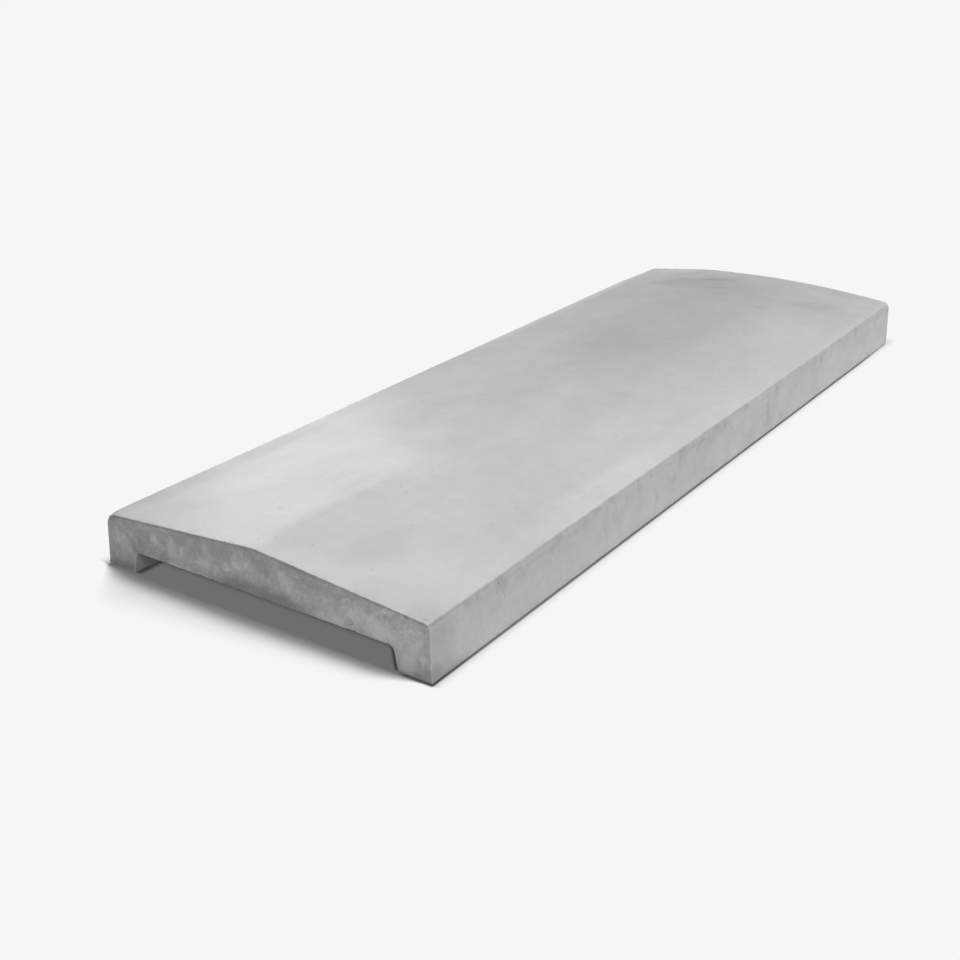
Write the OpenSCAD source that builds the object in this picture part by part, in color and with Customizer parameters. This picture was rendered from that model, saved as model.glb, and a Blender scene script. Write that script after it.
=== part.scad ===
// Twice-weathered concrete wall coping, cast in one piece (millimetres).
// X runs along the wall, Y across it and Z up. The origin is the middle of the
// footprint: the two long feet stand on z = 0, either side of the wall channel.

/* [Slab] */
// Length along the wall, measured at the feet
length = 1000; // [600:10:1200]
// Width across the wall, measured at the feet
width = 350; // [250:5:500]
// Mould draft of the four outer faces, in degrees from upright
draft_angle = 2; // [0.5:0.1:5]
// Worn edge all round each end face and along the feet
arris = 1.5; // [0.5:0.25:4]

/* [Weathered top] */
// Height of the long sides at the ridged end
ridged_side = 48.5; // [40:0.5:80]
// How far the ridge rises above the sides at the ridged end
ridge_rise = 13.5; // [6:0.5:30]
// Radius that the float left along the ridge, at the ridged end
ridge_radius = 55; // [20:5:150]
// How far the ridge stays crisp from the ridged end, before it flattens
ridge_length = 170; // [60:10:400]
// Height of the long sides at the crowned end
crowned_side = 54; // [40:0.5:80]
// How far the crown rises above the sides at the crowned end
crown_rise = 11.5; // [6:0.5:30]
// Rounded shoulder where the top turns down into each long side
shoulder_radius = 6; // [4:0.5:16]

/* [Wall channel] */
// Depth of the channel that takes the head of the wall
channel_depth = 20; // [10:1:30]
// Width of each foot beside the channel
foot_width = 32.5; // [24:0.5:50]
// Lean of the channel's cheeks, in degrees from upright
cheek_angle = 12; // [2:0.5:20]
// Hollow fillet between the cheeks and the bed face
bed_fillet = 6; // [2:0.5:9]

/* [Hidden] */
lean = tan(draft_angle);
cheek_lean = tan(cheek_angle);
channel_half = width / 2 - foot_width;
foot_steps = 2;          // facets in a foot's worn edge
arc_steps = 8;           // facets in a shoulder or fillet
crown_steps = 20;        // facets across a ridge or crown
opening_spans = 3;       // stretches in which the ridge opens into the crown
plate = 1;               // thickness of the plates that a stretch spans
overrun = 5;             // how far the channel's cutter runs past the slab
up = 90;                 // direction of +Z in a section, in degrees from +Y

// Points on an arc, turning evenly from one angle to another.
function arc(centre, radius, from, to, steps) =
    [for (i = [0:steps]) let (turn = from + (to - from) * i / steps)
        centre + radius * [cos(turn), sin(turn)]];

// Centre of a rounding of this radius that touches the two faces meeting at
// corner, whose outward directions are the angles one and other.
function rounding_centre(corner, radius, one, other) =
    let (n = [cos(one), sin(one)], m = [cos(other), sin(other)])
    corner - radius * (n + m) / (1 + n * m);

// Half width of the slab at a height, on its drafted side. The side touches the
// foot's rounding, which is what reaches the full width.
function half_at(height) =
    width / 2 - arris + arris / cos(draft_angle) - lean * (height - arris);

// Angle at which the top falls to a shoulder: the tangent from the shoulder
// corner to the ridge arc. A crown is the same thing with a very large arc.
function fall_angle(side, rise, radius) =
    let (reach = [half_at(side), radius - rise])
    atan2(reach.x, reach.y) - acos(min(1, radius / norm(reach)));

// Radius of the arc that spans the whole top, from one shoulder to the other.
function crown_radius(side, rise) =
    (pow(half_at(side), 2) + pow(rise, 2) - pow(shoulder_radius, 2)) / (2 * rise);

// What the section is like at a place, which is a distance from the ridged end.
// Side and rise change evenly. The radius holds first and then opens evenly.
function side_at(place) = ridged_side + place / length * (crowned_side - ridged_side);
function rise_at(place) = ridge_rise + place / length * (crown_rise - ridge_rise);
function radius_at(place) = ridge_radius
    + max(0, place - ridge_length) / (length - ridge_length)
      * (crown_radius(crowned_side, crown_rise) - ridge_radius);

// Right half of the outer section, from the foot to the ridge. inset shrinks it
// evenly, for the end face inside its worn arris.
function half_outline(place, inset) =
    let (side = side_at(place),
         rise = rise_at(place),
         radius = radius_at(place),
         flank = up - fall_angle(side, rise, radius),
         foot = [width / 2 - arris, arris],
         shoulder = rounding_centre([half_at(side), side], shoulder_radius, draft_angle, flank),
         ridge = [0, side + rise - radius])
    concat(arc(foot, arris - inset, -up, 0, foot_steps),
           [foot + (arris - inset) * [cos(draft_angle), sin(draft_angle)]],
           arc(shoulder, shoulder_radius - inset, draft_angle, flank, arc_steps),
           arc(ridge, radius - inset, flank, up, crown_steps / 2));

// Thin plate at x = 0 with the section as its face towards -X. Behind the face
// it draws in, so that only the face shapes the hull.
module section_plate(place, inset) {
    right = half_outline(place, inset);
    left = [for (i = [len(right) - 2:-1:0]) [-right[i].x, right[i].y]];
    middle = side_at(place) / 2;
    translate([0, 0, middle])
        rotate([90, 0, 90])
            linear_extrude(height = plate, scale = 0.9)
                translate([0, -middle]) polygon(concat(right, left));
}

// Start of a stretch of the slab, at x = 0: one upright section or, at an end of
// the slab, the drafted end face and the worn arris round it.
module stretch_start(place) {
    if (place > 0 && place < length)
        section_plate(place, 0);
    else
        multmatrix([[1, 0, lean, -lean * arris], [0, 1, 0, 0], [0, 0, 1, 0]]) {
            section_plate(place, arris);
            translate([arris, 0, 0]) section_plate(place, 0);
        }
}

// Outer form: a loft from the ridged end to the crowned end, in straight
// stretches that meet face to face. The first is the crisp ridge.
module slab() {
    opening = (length - ridge_length) / opening_spans;
    places = [0, for (i = [0:opening_spans]) ridge_length + i * opening];
    for (i = [0:opening_spans])
        hull() {
            translate([places[i] - length / 2, 0, 0])
                stretch_start(places[i]);
            translate([places[i + 1] - length / 2, 0, 0])
                mirror([1, 0, 0]) stretch_start(places[i + 1]);
        }
}

// Right half of the channel's section, from its mouth to the bed face.
function half_channel() =
    let (bed_corner = [channel_half - cheek_lean * channel_depth, channel_depth],
         fillet = rounding_centre(bed_corner, bed_fillet, cheek_angle, up))
    concat([[channel_half + cheek_lean * overrun, -overrun]],
           arc(fillet, bed_fillet, cheek_angle, up, arc_steps));

// Cutter for the channel under the slab, open through both ends.
module channel() {
    right = half_channel();
    left = [for (i = [len(right) - 1:-1:0]) [-right[i].x, right[i].y]];
    translate([-length / 2 - overrun, 0, 0])
        rotate([90, 0, 90])
            linear_extrude(height = length + 2 * overrun)
                polygon(concat(right, left));
}

module coping() {
    color([0.74, 0.74, 0.73])
        difference() {
            slab();
            channel();
        }
}

coping();
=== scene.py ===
import itertools
import math

import bpy
import numpy as np
from mathutils import Matrix, Vector


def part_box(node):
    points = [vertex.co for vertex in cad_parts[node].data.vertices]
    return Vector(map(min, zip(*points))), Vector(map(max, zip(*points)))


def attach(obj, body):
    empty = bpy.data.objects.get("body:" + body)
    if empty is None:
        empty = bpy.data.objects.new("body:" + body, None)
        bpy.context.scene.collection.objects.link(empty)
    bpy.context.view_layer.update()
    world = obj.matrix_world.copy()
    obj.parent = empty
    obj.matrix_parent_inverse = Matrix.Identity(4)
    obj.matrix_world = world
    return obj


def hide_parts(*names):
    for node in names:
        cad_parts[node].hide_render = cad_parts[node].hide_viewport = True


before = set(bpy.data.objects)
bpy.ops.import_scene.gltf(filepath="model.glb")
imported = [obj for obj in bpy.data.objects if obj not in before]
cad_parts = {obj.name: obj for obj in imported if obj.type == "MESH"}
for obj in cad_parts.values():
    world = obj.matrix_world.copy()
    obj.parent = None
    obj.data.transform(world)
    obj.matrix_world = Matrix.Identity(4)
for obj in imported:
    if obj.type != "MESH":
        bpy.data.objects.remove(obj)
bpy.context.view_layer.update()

# ---------------------------------------------------------------------------
# The coping: one concrete casting, feet down over a form for the channel, in a
# mould with drafted sides and ends. Its top is floated by hand, crisp at one end
# and low at the other. It is worked out as a bent plate with a U-shaped section.
# ---------------------------------------------------------------------------
low, high = (np.array(corner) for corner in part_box("coping"))
LENGTH = high[0] - low[0]
HALF_WIDTH = (high[1] - low[1]) / 2
DRAFT = math.radians(2)
LEAN = math.tan(DRAFT)
RIDGED_SIDE, RIDGED_TOP = 0.0485, 0.062
RIDGE_RADIUS, RIDGE_SHARE = 0.055, 0.17
CROWNED_SIDE, CROWNED_TOP = 0.054, high[2]
SHOULDER_RADIUS = 0.006
FOOT_WIDTH = 0.0325
CHANNEL_HALF = HALF_WIDTH - FOOT_WIDTH
CHANNEL_DEPTH = 0.020
CHEEK_ANGLE = math.radians(12)
BED_FILLET = 0.006


def half_at(height):
    """Half width of the drafted side at a height: the foot's, less the lean."""
    return HALF_WIDTH - LEAN * height


def rounding_centre(corner, radius, one, other):
    """Centre, in two columns, of a rounding that touches the two faces meeting at
    a corner: back from it along the sum of the faces' directions n and m, by the
    radius over 1 + n . m. The directions are the angles one and other."""
    n, m = (np.concatenate([np.cos(turn), np.sin(turn)], axis=-1) for turn in (one, other))
    return corner - radius * (n + m) / (1 + np.sum(n * m, axis=-1, keepdims=True))


def graded(span, finest, growth, coarsest, both_ends=True):
    """Shares of a span, from 0 to 1, spaced finely at its edge, or at both, and
    growing by an even factor to the coarsest step. The count is always even."""
    reach = span / 2 if both_ends else span
    steps = [finest]
    while sum(steps) < reach or (not both_ends and len(steps) % 2):
        steps.append(min(steps[-1] * growth, coarsest))
    half = np.cumsum([0.0] + steps) / sum(steps)
    return np.concatenate([half / 2, 1 - half[-2::-1] / 2]) if both_ends else half


# Half a section's columns, from the foot to the ridge: up the side, round the
# shoulder and over the top. The channel's cheek, fillet and bed match them.
SHOULDER_COLUMNS, TOP_COLUMNS = 13, 83
side_shares = graded(RIDGED_SIDE, finest=0.0006, growth=1.25, coarsest=0.0026, both_ends=False)
shoulder_shares = np.linspace(0, 1, SHOULDER_COLUMNS)
top_shares = np.linspace(1, 0, TOP_COLUMNS)


def outer_half(along):
    """Outer side of half the section, at y > 0, for each share of the length. The
    side is straight to the shoulder's arc, and the weathering is the tangent from
    the shoulder to the ridge's arc. Heights change evenly along the slab. The
    ridge's radius holds over the first stretch and then opens evenly, until its
    arc spans the whole top."""
    side = RIDGED_SIDE + along * (CROWNED_SIDE - RIDGED_SIDE)
    top = RIDGED_TOP + along * (CROWNED_TOP - RIDGED_TOP)
    crown_rise = CROWNED_TOP - CROWNED_SIDE
    crown_radius = half_at(CROWNED_SIDE) ** 2 + crown_rise ** 2 - SHOULDER_RADIUS ** 2
    crown_radius = crown_radius / (2 * crown_rise)
    opening = np.maximum(along - RIDGE_SHARE, 0) / (1 - RIDGE_SHARE)
    radius = RIDGE_RADIUS + opening * (crown_radius - RIDGE_RADIUS)
    across, above = half_at(side), radius - (top - side)
    fall = np.arctan2(across, above) - np.arccos(np.minimum(1, radius / np.hypot(across, above)))

    corner = np.concatenate([across, side], axis=1)
    flank = math.pi / 2 - fall
    centre = rounding_centre(corner, SHOULDER_RADIUS, np.full_like(flank, DRAFT), flank)
    side_top = centre + SHOULDER_RADIUS * np.array([math.cos(DRAFT), math.sin(DRAFT)])
    turn = DRAFT + (flank - DRAFT) * shoulder_shares[1:-1]
    y_top = (centre[:, :1] + SHOULDER_RADIUS * np.sin(fall)) * top_shares
    on_arc = np.minimum(y_top, radius * np.sin(fall))
    z_top = top - radius + np.sqrt(radius ** 2 - on_arc ** 2) - (y_top - on_arc) * np.tan(fall)
    y = [HALF_WIDTH + (side_top[:, :1] - HALF_WIDTH) * side_shares,
         centre[:, :1] + SHOULDER_RADIUS * np.cos(turn), y_top]
    z = [side_top[:, 1:] * side_shares, centre[:, 1:] + SHOULDER_RADIUS * np.sin(turn), z_top]
    return np.stack([np.concatenate(y, axis=1), np.concatenate(z, axis=1)], axis=2)


def inner_half():
    """Inner side of half the section, at y > 0: the channel's leaning cheek, its
    hollow fillet and the flat bed face, with as many columns as the outer side."""
    bed_corner = [CHANNEL_HALF - math.tan(CHEEK_ANGLE) * CHANNEL_DEPTH, CHANNEL_DEPTH]
    centre = rounding_centre(bed_corner, BED_FILLET, np.array([CHEEK_ANGLE]), np.array([math.pi / 2]))
    cheek_top = centre + BED_FILLET * np.array([math.cos(CHEEK_ANGLE), math.sin(CHEEK_ANGLE)])
    turn = CHEEK_ANGLE + (math.pi / 2 - CHEEK_ANGLE) * shoulder_shares[1:-1]
    y = [CHANNEL_HALF + (cheek_top[0] - CHANNEL_HALF) * side_shares,
         centre[0] + BED_FILLET * np.cos(turn), centre[0] * top_shares]
    z = [cheek_top[1] * side_shares, centre[1] + BED_FILLET * np.sin(turn),
         np.full(len(top_shares), CHANNEL_DEPTH)]
    return np.stack([np.concatenate(y), np.concatenate(z)], axis=1)


def whole_section(half):
    """Both halves of a section in one run, from the foot at +Y to the one at -Y."""
    return np.concatenate([half, half[..., -2::-1, :] * [-1, 1]], axis=-2)


def directions(section):
    """Directions that a section's columns face: its run turned a quarter left."""
    run = np.gradient(section, axis=-2)
    facing = np.stack([run[..., 1], -run[..., 0]], axis=-1)
    return facing / np.linalg.norm(facing, axis=-1, keepdims=True)


# Rows along the slab and layers through its thickness. Near each end every
# column is used, and between the ends every second one.
END_ZONE, END_STEPS = 0.016, 14
FINEST_STEP, STEP_GROWTH = 0.0005, 1.14
MIDDLE_ROWS = 266
end_rows = np.concatenate([[0], np.cumsum(FINEST_STEP * STEP_GROWTH ** np.arange(END_STEPS))])
end_rows *= END_ZONE / end_rows[-1]
middle_rows = np.linspace(END_ZONE, LENGTH - END_ZONE, MIDDLE_ROWS)[1:-1]
rows = np.concatenate([end_rows, middle_rows, LENGTH - end_rows[::-1]]) / LENGTH
layers = graded(0.033, finest=0.0006, growth=1.22, coarsest=0.0024)

outer = whole_section(outer_half(rows[:, None]))
inner = np.broadcast_to(whole_section(inner_half()), outer.shape)
outer_facing, inner_facing = directions(outer), -directions(inner)
last_column, last_layer = outer.shape[1] - 1, len(layers) - 1

# The ring round the section: outer columns, one sole, inner columns, other sole.
columns, thickness = np.arange(last_column), np.arange(last_layer)
ring = np.stack([
    np.concatenate([columns, np.full(last_layer, last_column), last_column - columns,
                    np.zeros(last_layer, int)]),
    np.concatenate([np.zeros(last_column, int), thickness, np.full(last_column, last_layer),
                    last_layer - thickness])], axis=1)


def casting(row, column, layer):
    """Points of the bent plate: between the outer and inner side at a column, by
    the layer's share, with each end leaning in by the draft as it rises.
    Returns the points, their depths below the end, the nearer side and the sole,
    and the inward directions in which those depths run."""
    share = layers[layer][:, None]
    section = (1 - share) * outer[row, column] + share * inner[row, column]
    half_length = LENGTH / 2 - LEAN * section[:, 1]
    points = np.column_stack([(2 * rows[row] - 1) * half_length, section])
    below_outer = -np.sum((section - outer[row, column]) * outer_facing[row, column], axis=1)
    below_inner = -np.sum((section - inner[row, column]) * inner_facing[row, column], axis=1)
    nearer = (below_outer <= below_inner)[:, None]
    facing = np.where(nearer, outer_facing[row, column], inner_facing[row, column])
    depths = np.stack([2 * np.minimum(rows[row], 1 - rows[row]) * half_length,
                       np.maximum(np.minimum(below_outer, below_inner), 0), section[:, 1]], axis=1)
    inward = np.zeros((len(row), 3, 3))
    inward[:, 0, 0] = np.where(rows[row] < 0.5, 1, -1)
    inward[:, 1, 1:] = -facing
    inward[:, 2, 2] = 1
    return points, depths, inward


def cloud(points, size, seed):
    """Smooth noise from 0 to 1: a random value at each corner of a lattice of
    this size, blended inside a cell by the smooth step 3f^2 - 2f^3 of each axis.
    A corner's value is picked by three large odd numbers, one for each axis."""
    values = np.random.default_rng(seed).random(4096)
    cell = np.floor(points / size).astype(np.int64)
    step = points / size - cell
    step = step * step * (3 - 2 * step)
    total = np.zeros(len(points))
    for corner in itertools.product((0, 1), repeat=3):
        key = (cell + corner) * np.array([73856093, 19349663, 83492791])
        weight = np.prod(np.where(corner, step, 1 - step), axis=1)
        total += weight * values[(key[:, 0] ^ key[:, 1] ^ key[:, 2]) & (len(values) - 1)]
    return total


# Vertices: the fine ring at each end row, every second one between, and then the
# insides of the two end faces.
first_middle, last_middle = len(end_rows), len(rows) - len(end_rows)
is_fine = (np.arange(len(rows)) < first_middle) | (np.arange(len(rows)) >= last_middle)
row_rings = [ring if fine else ring[::2] for fine in is_fine]
row_starts = np.concatenate([[0], np.cumsum([len(part) for part in row_rings])])
where = [np.column_stack([np.full(len(part), row), part]) for row, part in enumerate(row_rings)]
inside = np.stack(np.meshgrid(np.arange(1, last_column), np.arange(1, last_layer),
                              indexing="ij"), axis=-1).reshape(-1, 2)
for row in (0, len(rows) - 1):
    where.append(np.column_stack([np.full(len(inside), row), inside]))
row_of, column_of, layer_of = np.concatenate(where).T
points, depths, inward = casting(row_of, column_of, layer_of)

faces = []
for row in range(len(rows) - 1):
    here, there = (start + np.arange(count) for start, count in
                   zip(row_starts[row:row + 2], np.diff(row_starts)[row:row + 2]))
    if len(here) == len(there):
        faces.append(np.stack([here, there, np.roll(there, -1), np.roll(here, -1)], axis=1))
        continue
    # Where the count doubles, each coarse step meets two fine ones: three triangles.
    fine, coarse = (here, there) if len(here) > len(there) else (there, here)
    start, middle, end = fine[::2], fine[1::2], np.roll(fine[::2], -1)
    triangles = np.stack([np.stack([start, coarse, middle]),
                          np.stack([middle, coarse, np.roll(coarse, -1)]),
                          np.stack([middle, np.roll(coarse, -1), end])]).transpose(0, 2, 1)
    if len(here) < len(there):
        triangles = triangles[:, :, ::-1]
    faces.append(triangles.reshape(-1, 3))
for row, first_inside in ((0, row_starts[-1]), (len(rows) - 1, row_starts[-1] + len(inside))):
    grid = np.zeros((last_column + 1, last_layer + 1), int)
    grid[ring[:, 0], ring[:, 1]] = row_starts[row] + np.arange(len(ring))
    grid[inside[:, 0], inside[:, 1]] = first_inside + np.arange(len(inside))
    quads = np.stack([grid[:-1, :-1], grid[1:, :-1], grid[1:, 1:], grid[:-1, 1:]], axis=-1)
    faces.append(quads.reshape(-1, 4) if row == 0 else quads.reshape(-1, 4)[:, ::-1])

# Wear: each arris is rounded by a radius that wanders along it. A point that
# lies less than the radius below two or three faces moves onto the rounding.
LEAST_WEAR, LONG_WEAR, SHORT_WEAR, FOOT_WEAR = 0.0004, 0.0005, 0.0003, 0.0006
FOOT_ZONE = 0.006
TINY = 1e-9
at_foot = np.clip(1 - depths[:, 2] / FOOT_ZONE, 0, 1)
long_cloud, short_cloud = cloud(points, size=0.018, seed=3), cloud(points, size=0.005, seed=4)
radius = LEAST_WEAR + LONG_WEAR * long_cloud ** 2 + SHORT_WEAR * short_cloud
radius = (radius + FOOT_WEAR * at_foot)[:, None]
core = np.maximum(depths, radius)
offset = depths - core
offset_length = np.linalg.norm(offset, axis=1, keepdims=True)
rounded = core + radius * offset / np.maximum(offset_length, TINY)
worn_shift = np.where(offset_length > 0, rounded - depths, 0)

# Knocks: scoops where an arris has been hit, as x, y, z, reach and depth in mm,
# and small ones at random places. They fade out away from the arris.
KNOCKS = np.array([
    (-499, -172, 48, 7, 0.8),
    (-498, -118, 54, 5, 1.1), (-498, -111, 54, 4, 1.3), (-498, -102, 55, 4, 0.9),
    (-498, -139, 52, 4, 0.8), (-498, -60, 58, 5, 0.6), (-498, 71, 57, 5, 0.6),
    (-498, 124, 53, 5, 0.7), (-499, -96, 20, 4, 0.9), (-499, 62, 20, 5, 0.8),
    (-500, 172, 6, 6, 0.9), (-500, 150, 1, 4, 0.7), (-500, -171, 3, 5, 0.8),
    (499, -171, 53, 7, 0.9), (498, 40, 64, 6, 0.8)]) / 1000
SMALL_KNOCKS, SMALL_STEEPNESS = 90, 0.22
KNOCK_ZONE, ON_FACE = 0.012, 1e-6
second_depth = np.sort(depths, axis=1)[:, 1]
arris_points = points[second_depth < ON_FACE]
random = np.random.default_rng(8)
small = random.integers(0, len(arris_points), SMALL_KNOCKS)
small_reach = random.uniform(0.0015, 0.0045, SMALL_KNOCKS)
small_knocks = np.column_stack([arris_points[small], small_reach, small_reach * SMALL_STEEPNESS])
knock_depth = np.zeros(len(points))
for x, y, z, reach, depth in np.concatenate([KNOCKS, small_knocks]):
    away = np.linalg.norm(points - (x, y, z), axis=1) / reach
    knock_depth = np.maximum(knock_depth, depth * np.maximum(1 - away ** 2, 0) ** 1.5)
knock_depth *= 0.85 + 0.3 * cloud(points, size=0.004, seed=9)
nearness = np.maximum(1 - depths / KNOCK_ZONE, 0) ** 2
knock_shift = knock_depth[:, None] * nearness / np.maximum(
    np.linalg.norm(nearness, axis=1, keepdims=True), 0.2)

# Relief: the float and the mould boards leave each face a little hollow in places.
# It fades out near the floor and toward the middle of the thickness.
WIDE_HOLLOW, NARROW_HOLLOW, HOLLOW_FADE = 0.0006, 0.0003, 0.01
relief = WIDE_HOLLOW * cloud(points, size=0.110, seed=5)
relief += NARROW_HOLLOW * cloud(points * (1, 2.5, 1), size=0.045, seed=6)
above_foot = np.clip(depths[:, 2] / HOLLOW_FADE, 0, 1)
relief_shift = np.zeros_like(depths)
relief_shift[:, 1] = relief * above_foot * np.clip(1 - depths[:, 1] / HOLLOW_FADE, 0, 1)

# Rubs: soft hollows where handling has worn a corner down, as x, y, z, reach and
# depth in mm. They move the outer side alone and fade out through the thickness.
RUBS = np.array([(-500, 173.5, 49.5, 13, 1.7), (500, 168, 55, 100, 2.2)]) / 1000
rub_depth = np.zeros(len(points))
for x, y, z, reach, depth in RUBS:
    away = np.linalg.norm(points - (x, y, z), axis=1) / reach
    rub_depth += depth * np.maximum(1 - away ** 2, 0) ** 2
rub_depth *= above_foot * (1 - layers[layer_of])

shift = np.maximum(worn_shift, knock_shift) + relief_shift
surface = points + np.einsum("nk,nkc->nc", shift, inward)
surface[:, 1:] -= rub_depth[:, None] * outer_facing[row_of, column_of]

mesh = bpy.data.meshes.new("coping_casting")
mesh.from_pydata(surface, [], [face for part in faces for face in part.tolist()])
mesh.validate()
mesh.shade_smooth()

# Which way the skin faces: how far up, and whether it is an end.
on_end = (depths[:, 0] < ON_FACE).astype(float)
outward_z, inward_z = outer_facing[row_of, column_of, 1], inner_facing[row_of, column_of, 1]
upward = np.where(layer_of == 0, outward_z, inward_z)
upward = np.where((layer_of > 0) & (on_end > 0), LEAN, upward)

# Stains and pale patches are soft ellipses in mm: two middles, half length, half
# width, turn in degrees and how much lighter than the rest. On the top the
# middles are x and y, on the side x and z, and on the end y and z. Some of them
# are painted light and shade: the pale strips along the top's long edges are
# painted highlights, the dark strip on the shoulder at +Y near the ridged end is
# painted shade, the dark band over the crowned half of the top is partly painted
# shade where the light falls off, and the paler lower part of the ridged end
# toward -Y is partly painted light.
TOP_PATCHES = [
    (270, 0, 250, 75, 0, -0.14), (300, -20, 260, 150, 0, -0.05), (400, 60, 60, 90, 0, -0.04),
    (-220, -158, 130, 18, 0, 0.09), (310, 170, 280, 9, 0, 0.15), (330, 168, 70, 9, 0, 0.06),
    (486, 130, 18, 36, 0, 0.12), (486, 170, 20, 9, 0, -0.10), (486, -95, 14, 40, 0, -0.06),
    (486, -125, 16, 40, 0, -0.04), (-490, 60, 16, 90, 0, 0.02), (-485, 142, 16, 25, 0, 0.04),
    (-485, -30, 16, 35, 0, 0.05), (-320, 163, 130, 18, 0, -0.13), (-330, 170, 120, 8, 0, -0.07),
    (-330, 140, 90, 25, 0, -0.06), (-490, -160, 16, 16, 0, -0.10), (-482, -140, 22, 45, 0, -0.06),
    (-430, -70, 40, 20, 0, -0.06), (-420, 2, 45, 8, 0, -0.07), (-360, 15, 35, 8, 0, -0.06),
    (-180, 33, 55, 28, 0, 0.09), (-40, -160, 60, 14, 0, 0.05), (60, -80, 90, 40, 0, -0.05),
    (-70, -60, 55, 25, 0, -0.05), (120, -130, 30, 15, 0, -0.05), (160, -100, 60, 25, 0, -0.05),
    (410, -118, 80, 45, 0, -0.07), (420, -118, 35, 22, 0, -0.05), (400, -166, 110, 18, 0, -0.03),
    (370, 115, 60, 45, 0, -0.04), (-105, 118, 80, 70, 45, 0.08), (425, 70, 48, 28, -62, -0.08),
    (428, 88, 42, 13, -62, -0.05), (474, 92, 26, 7, -62, -0.08), (455, 128, 20, 9, -62, 0.05),
    (450, 47, 27, 5, -62, -0.09), (409, 29, 13, 6, -62, -0.09), (396, -26, 14, 4, -62, -0.10),
    (357, -55, 13, 7, -62, -0.09), (410, -105, 27, 13, -62, -0.08), (376, -124, 10, 3, -62, 0.05),
    (226, 2, 9, 7, -62, 0.04), (-494, -165, 1.2, 0.8, 0, -0.35)]
SIDE_PATCHES = [
    (-492, -2, 34, 13, 0, -0.30), (-496, 36, 30, 28, 0, -0.15), (-402, 40, 8, 9, 0, -0.13),
    (-377, 37, 12, 6, 0, -0.08), (-452, 47, 5, 4, 0, -0.10), (-322, 44, 4, 6, 0, -0.13),
    (-277, 44, 6, 6, 0, -0.12), (-242, 28, 4, 11, 0, -0.07), (-182, 39, 3, 10, 0, -0.15),
    (-145, 18, 3, 4, 0, -0.13), (-100, 39, 4, 10, 0, -0.15), (-92, 47, 7, 3, 0, -0.12),
    (-112, 25, 3, 6, 0, -0.10), (-62, 40, 4, 5, 0, -0.09), (-37, 38, 9, 8, 0, -0.06),
    (-20, 46, 5, 5, 0, -0.08), (2, 44, 5, 5, 0, -0.20), (30, 49, 14, 3, 0, -0.10),
    (111, 27, 4, 9, 0, -0.18), (112, 25, 5, 24, 0, -0.07), (150, 9, 9, 7, 0, -0.12),
    (170, 25, 30, 18, 0, 0.04), (272, 47, 7, 3, 0, -0.10), (363, 7, 4, 3, 0, -0.09),
    (-310, 31, 50, 10, 0, 0.03), (480, 25, 25, 25, 0, 0.03), (-435, 45, 30, 6, 0, -0.08),
    (112, 8, 12, 10, 0, -0.07), (-190, 36, 16, 8, 0, -0.05), (-8, 45, 16, 5, 0, -0.07),
    (450, 44, 50, 6, 0, 0.05)]
END_PATCHES = [
    (-3, 21, 50, 11, 0, -0.36), (-33, 38, 6, 5, 0, 0.26), (-28, 45, 6, 5, 0, 0.12),
    (8, 43, 5, 6, 30, 0.12), (18, 39, 7, 4, 0, 0.18), (12, 49, 6, 4, 0, 0.08),
    (115, 38, 4, 4, 0, 0.28), (95, 34, 5, 8, 10, 0.34), (80, 34, 5, 6, 0, 0.12),
    (57, 33, 9, 6, 0, 0.18), (-75, 25, 18, 4, 0, 0.20), (-86, 24, 5, 3, 0, 0.16),
    (-110, 38, 20, 8, 0, 0.08), (-131, 47, 7, 3, 0, 0.14), (-152, 25, 12, 22, 0, 0.12),
    (0, 37, 24, 6, 0, 0.08), (-127, 29, 12, 8, 0, 0.22), (161, 30, 7, 7, 0, 0.16),
    (152, 18, 9, 9, 0, 0.14), (-151, 8, 8, 9, 0, 0.24), (158, 4, 20, 4, 0, -0.04),
    (137, 26, 8, 7, 0, -0.22), (107, 25, 9, 5, 0, -0.20), (-165, 7, 9, 6, 0, -0.16),
    (-97, 27, 4, 3, 0, -0.14), (146, 47, 7, 3, 0, -0.12), (-115, 43, 4, 3, 0, -0.14),
    (-132, 43, 2, 1.4, 0, -0.30), (158, 39, 1.5, 1.6, 0, -0.35), (163, 29, 1.6, 1.8, 0, -0.45),
    (149, 34, 2.2, 1.8, 0, -0.30), (140, 38, 20, 12, 0, 0.06),
    (-125, 28, 42, 15, 0, 0.12), (38, 50, 15, 8, 0, -0.10), (72, 45, 16, 10, 0, -0.10),
    (-52, 52, 16, 7, 0, -0.12), (140, 50, 15, 5, 0, 0.10), (154, 29, 12, 10, 0, 0.12),
    (50, 32, 12, 5, 0, 0.12), (88, 35, 10, 6, 0, 0.10), (-70, 35, 14, 6, 0, 0.12),
    (-10, 33, 14, 5, 0, 0.12), (-158, 5, 14, 6, 0, 0.14), (-130, 25, 24, 5, 0, 0.12)]
RAGGED_WIDE, RAGGED_FINE = 6, 2
ragged = RAGGED_WIDE * (cloud(points, size=0.016, seed=11) - 0.5)
ragged += RAGGED_FINE * (cloud(points, size=0.006, seed=12) - 0.5)


def patched(skin, first, second, patches):
    """Tone of a skin with its patches: for each, 1 plus its strength times the
    smooth step of 1.5 less the distance in the ellipse's own measure. The edge
    wanders by the ragged millimetres, as a share of the smaller half."""
    tone = np.ones(len(points))
    for middle, other, half_length, half_width, turn, strength in patches:
        u, v = first * 1000 - middle, second * 1000 - other
        cos, sin = math.cos(math.radians(turn)), math.sin(math.radians(turn))
        away = np.hypot((u * cos + v * sin) / half_length, (v * cos - u * sin) / half_width)
        share = np.clip(1.5 - away + ragged / (2 + min(half_length, half_width)), 0, 1)
        tone += skin * strength * share * share * (3 - 2 * share)
    return tone


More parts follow.
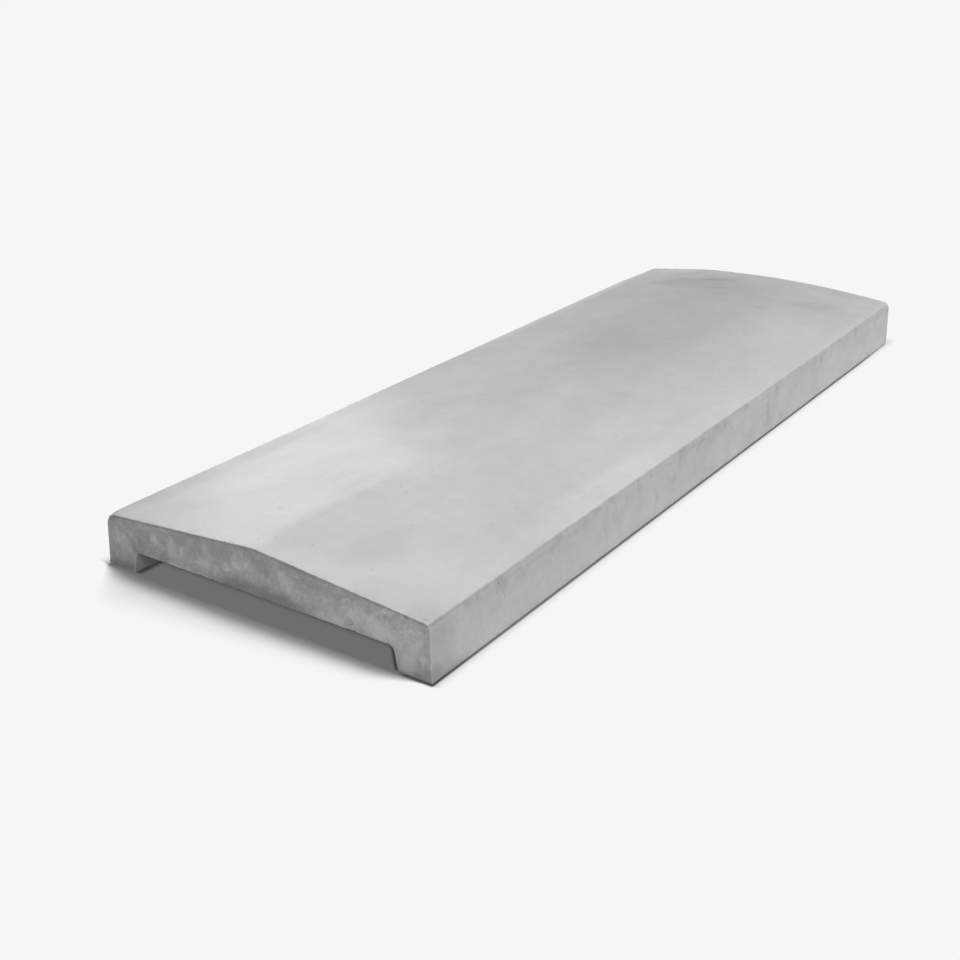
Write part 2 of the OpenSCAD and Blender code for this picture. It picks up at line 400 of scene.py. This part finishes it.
# The hidden side and end have the same marks, turned half round.
on_outside = (layer_of == 0) & (on_end == 0)
x, y, z = points.T
tone = patched(on_outside & (upward > 0.5), x, y, TOP_PATCHES)
tone *= patched(on_outside & (upward < 0.8), np.where(y < 0, x, -x), z, SIDE_PATCHES)
tone *= patched(on_end, np.where(x < 0, y, -y), z, END_PATCHES)

# An arris or a knock is paler, partly from wear and partly as a painted highlight
# along the edge, but under the top's arris there is a thin dark line.
PALE_ARRIS_WIDTH, PALE_KNOCK_DEPTH, PALER_WEAR_AND_HIGHLIGHT = 0.0016, 0.0008, 0.12
LINE_DEPTH, LINE_HALF, LINE_DARKER = 0.0014, 0.0010, 0.26
near_top = (outward_z > 0.7) & (layer_of < last_layer / 2)
wear_and_highlight = np.clip(1 - second_depth / PALE_ARRIS_WIDTH, 0, 1) + np.clip(knock_depth / PALE_KNOCK_DEPTH, 0, 1)
tone *= 1 + PALER_WEAR_AND_HIGHLIGHT * np.clip(wear_and_highlight, 0, 1) * ~near_top
under_arris = np.exp(-((depths[:, 1] - LINE_DEPTH) / LINE_HALF) ** 2)
tone *= 1 - LINE_DARKER * under_arris * on_end * near_top

# The channel's cheeks are painted darker: painted shade, as they lie in the channel's shadow.
CHEEK_PAINTED_SHADE, CHEEK_REACH = 0.15, 0.006
at_cheek = np.abs(points[:, 1]) > CHANNEL_HALF - CHEEK_REACH
shaded_cheek = (layer_of == last_layer) & (on_end == 0) & at_cheek
tone *= 1 - CHEEK_PAINTED_SHADE * shaded_cheek
for name, values in (("tone", tone), ("upward", upward), ("on_end", on_end)):
    mesh.attributes.new(name, "FLOAT", "POINT").data.foreach_set("value", values.astype(np.float32))


class Finish:
    """A value inside a material, so that sums on values are written as plain maths:
    each sum adds one Math node, and any other node comes from node()."""

    def __init__(self, tree, socket=None):
        self.tree, self.socket = tree, socket

    def node(self, kind, inputs, output=0, **settings):
        """A new node: its settings come first, then the values or links of its inputs."""
        added = self.tree.nodes.new("ShaderNode" + kind)
        for name, setting in settings.items():
            setattr(added, name, setting)
        for name, value in inputs.items():
            if isinstance(value, Finish):
                self.tree.links.new(value.socket, added.inputs[name])
            else:
                added.inputs[name].default_value = value
        return Finish(self.tree, added.outputs[output])

    def beside(self, output):
        """Another output of the same node."""
        return Finish(self.tree, self.socket.node.outputs[output])

    def feed(self, node, name):
        """Links this value to an input of a node that the tree already has."""
        self.tree.links.new(self.socket, self.tree.nodes[node].inputs[name])

    def maths(self, operation, *values):
        return self.node("Math", dict(enumerate(values)), operation=operation)

    def step(self, start, end):
        """Smooth step, from 0 at start to 1 at end."""
        return self.node("MapRange", {"Value": self, "From Min": start, "From Max": end},
                         interpolation_type="SMOOTHSTEP")

    def at_least(self, other):
        return self.maths("MAXIMUM", self, other)

    def size(self):
        return self.maths("ABSOLUTE", self)

    def root(self):
        return self.maths("SQRT", self)

    def __add__(self, other):
        return self.maths("ADD", self, other)

    def __sub__(self, other):
        return self.maths("SUBTRACT", self, other)

    def __rsub__(self, other):
        return self.maths("SUBTRACT", other, self)

    def __mul__(self, other):
        return self.maths("MULTIPLY", self, other)

    def __truediv__(self, other):
        return self.maths("DIVIDE", self, other)

    __radd__, __rmul__ = __add__, __mul__


def stretched(place, sizes, turn=0.0):
    """The place measured in cells of these three sizes in metres, turned about Z."""
    return place.node("Mapping", {"Vector": place, "Rotation": (0, 0, math.radians(turn)),
                                  "Scale": sizes}, vector_type="TEXTURE")


def drift(place, sizes, detail=2.0, distortion=0.0):
    """Cloudy noise about 0, mostly within 0.25, with cells of these sizes."""
    return place.node("TexNoise", {"Vector": stretched(place, sizes), "Scale": 1.0,
                                   "Detail": detail, "Distortion": distortion}) - 0.5


def specks(place, sizes, least, growth, turn=0.0):
    """Spots on a jumbled lattice of these sizes, 1 inside and 0 outside. Each has
    a chance near 0.5, and its radius is growth times what the chance is over least."""
    away = place.node("TexVoronoi", {"Vector": stretched(place, sizes, turn), "Scale": 1.0})
    return ((away.beside("Color") - least) * growth - away).step(0.0, 0.03)


concrete = bpy.data.materials.new("cast_concrete")
concrete.use_nodes = True
paste = Finish(concrete.node_tree)
place = paste.node("TexCoord", {}, output="Object")
marks = {name: paste.node("Attribute", {}, output="Fac", attribute_name=name)
         for name in ("tone", "upward", "on_end")}

# Skins: the floated top, the moulded sides, whose upper edge is ragged, and the
# ends. Toward the crowned end the floated skin comes further down the shoulder.
EDGE_RAGGED, COMES_DOWN = 0.20, 0.24
apart = paste.node("SeparateXYZ", {"Vector": place})
height = apart.beside("Z")
upward = marks["upward"] + EDGE_RAGGED * drift(place, (0.009, 0.009, 0.009), detail=3.0)
lowered = COMES_DOWN * apart.step(-0.30, 0.30)
top = (upward + lowered).step(0.74, 0.94)
end = marks["on_end"]
side = (1 - top) * (1 - end)
# The shoulder's rounding on the side and the brink of the top are painted darker: painted shade that
# takes off the highlight the rounding catches from the lamps.
shoulder = side * marks["upward"].step(0.0, 0.8)
shaded_brink = top * (1 - marks["upward"].step(0.90, 0.995))

# Noises from the widest to the finest, air pits, and the sweeps of the float.
clouds = drift(place, (0.110, 0.090, 0.090), detail=3.0)
mottle = drift(place, (0.024, 0.024, 0.020), detail=3.0, distortion=0.4)
blots = end * drift(place, (0.013, 0.013, 0.010), distortion=0.6).step(0.04, 0.17)
flecks = drift(place, (0.007, 0.007, 0.007))
grain = drift(place, (0.0025, 0.0025, 0.0025))
sand = drift(place, (0.0008, 0.0008, 0.0008), detail=1.0)
pits = specks(place, (0.010, 0.010, 0.010), least=0.50, growth=0.45)
FLOAT_TURN = -55
sweeps = specks(place, (0.030, 0.009, 0.02), least=0.56, growth=0.6, turn=FLOAT_TURN)
pale_sweeps = specks(place, (0.034, 0.008, 0.02), least=0.60, growth=0.6, turn=FLOAT_TURN + 6)

# Down the sides: smudges under the top edge, and a few thin drips.
smudges = height.step(0.028, 0.046) * drift(place, (0.016, 0.016, 0.010), detail=3.0).step(0.03, 0.16)
drips = 1 - drift(place, (0.030, 0.030, 0.120), detail=3.0, distortion=1.2).size().step(0.0, 0.025)
drips = drips * drift(place, (0.045, 0.045, 0.200)).step(0.03, 0.10)

# Each noise's strength on the top, and what it gains on the sides and on the ends.
texture = sum(noise * (on_top + more_on_side * side + more_on_end * end)
              for noise, on_top, more_on_side, more_on_end in (
                  (mottle, 0.15, 0.12, 0.28), (flecks, 0.07, 0.05, 0.26),
                  (grain, 0.04, 0.05, 0.38), (sand, 0.02, 0.02, 0.30)))

# The albedo, and how much darker or paler each skin and mark is, as a share.
ALBEDO, CLOUDY, BLOTS_PALER, PITS_DARKER, FLOATED_SHUT = 0.52, 0.22, 0.18, 0.30, 0.8
SIDE_DARKER, SHOULDER_PAINTED_SHADE, BRINK_PAINTED_SHADE, RIM_DARKER, BASE_DARKER = 0.11, 0.24, 0.08, 0.04, 0.04
SMUDGES_DARKER, DRIPS_DARKER, SWEEPS_DARKER, SWEEPS_PALER = 0.14, 0.06, 0.06, 0.03
albedo = ALBEDO * marks["tone"] * (1 - SIDE_DARKER * side) * (1 - SHOULDER_PAINTED_SHADE * shoulder)
albedo = albedo * (1 - BRINK_PAINTED_SHADE * shaded_brink)
albedo = albedo * (1 - RIM_DARKER * side * height.step(0.038, 0.046))
albedo = albedo * (1 - BASE_DARKER * (1 - height.step(0.003, 0.010)))
albedo = albedo * (1 + CLOUDY * clouds + texture) * (1 + BLOTS_PALER * blots)
albedo = albedo * (1 - SMUDGES_DARKER * side * smudges) * (1 - DRIPS_DARKER * side * drips)
albedo = albedo * (1 - PITS_DARKER * pits * (1 - FLOATED_SHUT * top))
albedo = albedo * (1 - SWEEPS_DARKER * top * sweeps) * (1 + SWEEPS_PALER * top * pale_sweeps)

# The albedo runs between two greys, so that the colour stays a colour.
DARK, PALE = 0.25, 0.75
dark_grey, pale_grey = (DARK, DARK, DARK, 1), (PALE, PALE, PALE, 1)
colour = paste.node("Mix", {0: (albedo - DARK) / (PALE - DARK), 6: dark_grey, 7: pale_grey},
                    output=2, data_type="RGBA")

# Relief too fine for the mesh, in mm, and a skin that is matt all over.
fine_relief = 0.10 * grain + 0.05 * sand + 0.3 * mottle - 0.5 * pits - 0.08 * top * sweeps
bump = paste.node("Bump", {"Height": fine_relief, "Distance": 0.001, "Strength": 0.8})
ROUGHNESS, REFLECTANCE = 0.88, 0.35
roughness = ROUGHNESS + 0.12 * mottle - 0.03 * top
for finish, name in ((colour, "Base Color"), (roughness, "Roughness"), (bump, "Normal")):
    finish.feed("Principled BSDF", name)
concrete.node_tree.nodes["Principled BSDF"].inputs["Specular IOR Level"].default_value = REFLECTANCE
mesh.materials.append(concrete)

coping = bpy.data.objects.new("coping_casting", mesh)
bpy.context.scene.collection.objects.link(coping)
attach(coping, "root")
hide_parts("coping")

# ---------------------------------------------------------------------------
# Floor and surround: a pale studio floor under an equally pale backdrop. Only
# the floor close round the coping takes its shadow; the rest is plain pale.
# ---------------------------------------------------------------------------
BACKDROP = 0.921
FLOOR_HALF, FLOOR_DROP = 14.0, 0.0008
floor_mesh = bpy.data.meshes.new("floor")
floor_mesh.from_pydata([(x * FLOOR_HALF, y * FLOOR_HALF, -FLOOR_DROP)
                        for x, y in ((-1, -1), (1, -1), (1, 1), (-1, 1))], [], [(0, 1, 2, 3)])
floor = bpy.data.objects.new("floor", floor_mesh)
bpy.context.scene.collection.objects.link(floor)

floor_paint = bpy.data.materials.new("floor_paint")
floor_paint.use_nodes = True
floor_paint.node_tree.nodes.remove(floor_paint.node_tree.nodes["Principled BSDF"])
boards = Finish(floor_paint.node_tree)
along = boards.node("SeparateXYZ", {"Vector": boards.node("TexCoord", {}, output="Object")})
across = along.beside("Y")
# Distances off the footprint, and how far out the shadow is kept on each side.
# Ahead of the ridged end it reaches further toward +Y, and less before each foot.
AHEAD, BEHIND, LEFT, RIGHT = 0.045, 0.030, 0.018, 0.009
FURTHER_LEFT = 3.0
off_near, off_far = (-LENGTH / 2 - along).at_least(0.0), (along - LENGTH / 2).at_least(0.0)
off_left, off_right = (across - HALF_WIDTH).at_least(0.0), (-HALF_WIDTH - across).at_least(0.0)
reach = AHEAD * (1 + FURTHER_LEFT * across)
reach = reach * (across + HALF_WIDTH).step(-0.007, 0.06) * (HALF_WIDTH - across).step(-0.012, 0.055)
ends_share = off_near / reach.at_least(0.001) + off_far / BEHIND
sides_share = off_left / LEFT + off_right / RIGHT
clear = (ends_share * ends_share + sides_share * sides_share).root().step(0.0, 1.0)
# Under the coping the floor has a painted shadow, and so has the gap round its
# feet. Ahead of the ridged end the painted shadow gives way slowly, and at the
# crowned end it fades.
GAP_AHEAD, GAP_LEFT, GAP_RIGHT, AHEAD_PART = 0.0036, 0.0012, 0.0024, 0.12
ahead_share = off_near / (AHEAD_PART * reach).at_least(GAP_AHEAD)
beside_share = off_left / GAP_LEFT + (off_right + off_far) / GAP_RIGHT
contact = 1 - (ahead_share * ahead_share + beside_share * beside_share).root().step(0.0, 1.0)
contact = contact * (LENGTH / 2 - along).step(0.01, 0.11)
# In the channel the painted shadow is darkest deep inside and against the feet,
# and outside it before the front of the foot at -Y. Against that foot the dark
# band slants.
SLANT = 0.95
inside = along + LENGTH / 2
in_channel = 1 - across.size().step(CHANNEL_HALF, CHANNEL_HALF + 0.006)
against_left = 1 - (CHANNEL_HALF - across).step(0.001, 0.008)
against_right = 1 - (across + CHANNEL_HALF - SLANT * inside).step(0.0, 0.0042)
against_foot = against_left.at_least(against_right) * inside.step(0.0, 0.004)
before_foot = (1 - (across + CHANNEL_HALF).step(-0.008, 0.0)) * (1 - inside.step(0.0, 0.08))


def seen(finish):
    """1 for what the camera sees, straight, by reflection or through glass."""
    path = finish.node("LightPath", {}, output="Is Camera Ray")
    return path.at_least(path.beside("Is Glossy Ray")).at_least(path.beside("Is Transmission Ray"))


# The lit floor is written so that it comes out at the backdrop's brightness. Its
# shade is an even grey, painted with a glow, and under the coping the floor glows
# to other rays: a painted bounce light that lights the channel.
LIT_GREY, BOUNCE_GREY, SHADE, UNDERGLOW = 0.66, 0.97, 0.155, 0.22
DEEP_DARKER, AGAINST_DARKER, BEFORE_DARKER = 0.75, 0.70, 0.55
lit = boards.node("AddShader", {
    0: boards.node("BsdfDiffuse", {"Color": BOUNCE_GREY + (LIT_GREY - BOUNCE_GREY) * seen(boards)}),
    1: boards.node("Emission", {"Strength": seen(boards) * SHADE})})
plain = boards.node("Emission", {"Strength": BACKDROP})
shade = SHADE * (1 - DEEP_DARKER * in_channel * inside.step(0.022, 0.036))
shade = shade * (1 - AGAINST_DARKER * in_channel * against_foot) * (1 - BEFORE_DARKER * before_foot)
shaded = boards.node("Emission", {"Strength": UNDERGLOW + (shade - UNDERGLOW) * seen(boards)})
outside = boards.node("MixShader", {0: clear * seen(boards), 1: lit, 2: plain})
boards.node("MixShader", {0: contact, 1: outside, 2: shaded}).feed("Material Output", "Surface")
floor_mesh.materials.append(floor_paint)

backdrop = bpy.data.worlds.new("backdrop")
backdrop.use_nodes = True
sky = Finish(backdrop.node_tree)
backdrop.node_tree.nodes["Background"].inputs["Color"].default_value = (1, 1, 1, 1)
(seen(sky) * BACKDROP).feed("Background", "Strength")
bpy.context.scene.world = backdrop

# ---------------------------------------------------------------------------
# Lamps: a big softbox overhead, a low fill for the long side, a small fill for
# the ridged end, and a low lamp that skims the far half of the ridged end's top.
# A card that the camera can't see keeps that lamp off the long side at +Y.
# ---------------------------------------------------------------------------


def lamp(name, kind, aim, turn, rise, distance, watts, size):
    """A lamp aimed at a point from this distance, turned from +X and raised by
    these angles in degrees. Its size is its diameter."""
    turn, rise = math.radians(turn), math.radians(rise)
    back = Vector((math.cos(rise) * math.cos(turn), math.cos(rise) * math.sin(turn), math.sin(rise)))
    light = bpy.data.lights.new(name, kind)
    light.energy = watts
    if kind == "AREA":
        light.shape = "DISK"
        light.size = size
    else:
        light.shadow_soft_size = size / 2
    holder = bpy.data.objects.new(name, light)
    holder.location = Vector(aim) + distance * back
    holder.rotation_euler = back.to_track_quat("Z", "Y").to_euler()
    holder.visible_camera = False
    bpy.context.scene.collection.objects.link(holder)
    return holder


lamp("key_softbox", "AREA", aim=(0, 0, 0.03), turn=-18, rise=75, distance=5.0, watts=187, size=1.8)
side_fill = lamp("side_fill", "AREA", aim=(0, 0, 0.03), turn=-60, rise=8,
                 distance=4.0, watts=88, size=2.4)
end_fill = lamp("end_fill", "AREA", aim=(-0.45, 0, 0.05), turn=230, rise=45,
                distance=1.8, watts=12.4, size=0.9)
rim_lamp = lamp("rim_lamp", "SPOT", aim=(-0.345, 0.08, 0.055), turn=53, rise=6,
                distance=1.3, watts=76, size=0.1)
rim_lamp.data.spot_size = math.radians(11.6)
rim_lamp.data.spot_blend = 0.4

CARD_Y, CARD_TOP = HALF_WIDTH + 0.025, 0.051
CARD_START, CARD_END = -0.60, 0.15
card_mesh = bpy.data.meshes.new("card")
card_corners = ((CARD_START, 0), (CARD_END, 0), (CARD_END, CARD_TOP), (CARD_START, CARD_TOP))
card_mesh.from_pydata([(x, CARD_Y, z) for x, z in card_corners], [], [(0, 1, 2, 3)])
card = bpy.data.objects.new("card", card_mesh)
for seen_by in ("camera", "diffuse", "glossy", "transmission", "volume_scatter"):
    setattr(card, "visible_" + seen_by, False)
bpy.context.scene.collection.objects.link(card)

# The fills and the skimming lamp light the coping alone, not the floor.
only_coping = bpy.data.collections.new("lit_by_the_fills")
only_coping.objects.link(coping)
for fill in (side_fill, end_fill, rim_lamp):
    fill.light_linking.receiver_collection = only_coping

# ---------------------------------------------------------------------------
# Camera: standing off the near corner, looking along the slab and down on it.
# FOCAL is in the unit in which the frame is FRAME_WIDTH wide, and SENSOR in mm.
# ---------------------------------------------------------------------------
FRAME_WIDTH = 960
FOCAL, HEADING, PITCH, ROLL = 1302.8, -55.28, 23.41, -0.34
STANDPOINT = (-1.1502, -0.6690, 0.5165)
SENSOR = 36
lens = bpy.data.cameras.new("camera")
lens.sensor_width = SENSOR
lens.lens = SENSOR * FOCAL / FRAME_WIDTH
camera = bpy.data.objects.new("camera", lens)
turn, tilt, roll = (Matrix.Rotation(math.radians(angle), 4, axis)
                    for angle, axis in ((HEADING, "Z"), (90 - PITCH, "X"), (ROLL, "Z")))
camera.matrix_world = Matrix.Translation(STANDPOINT) @ turn @ tilt @ roll
bpy.context.scene.collection.objects.link(camera)
bpy.context.scene.camera = camera
bpy.context.scene.view_settings.view_transform = "Standard"
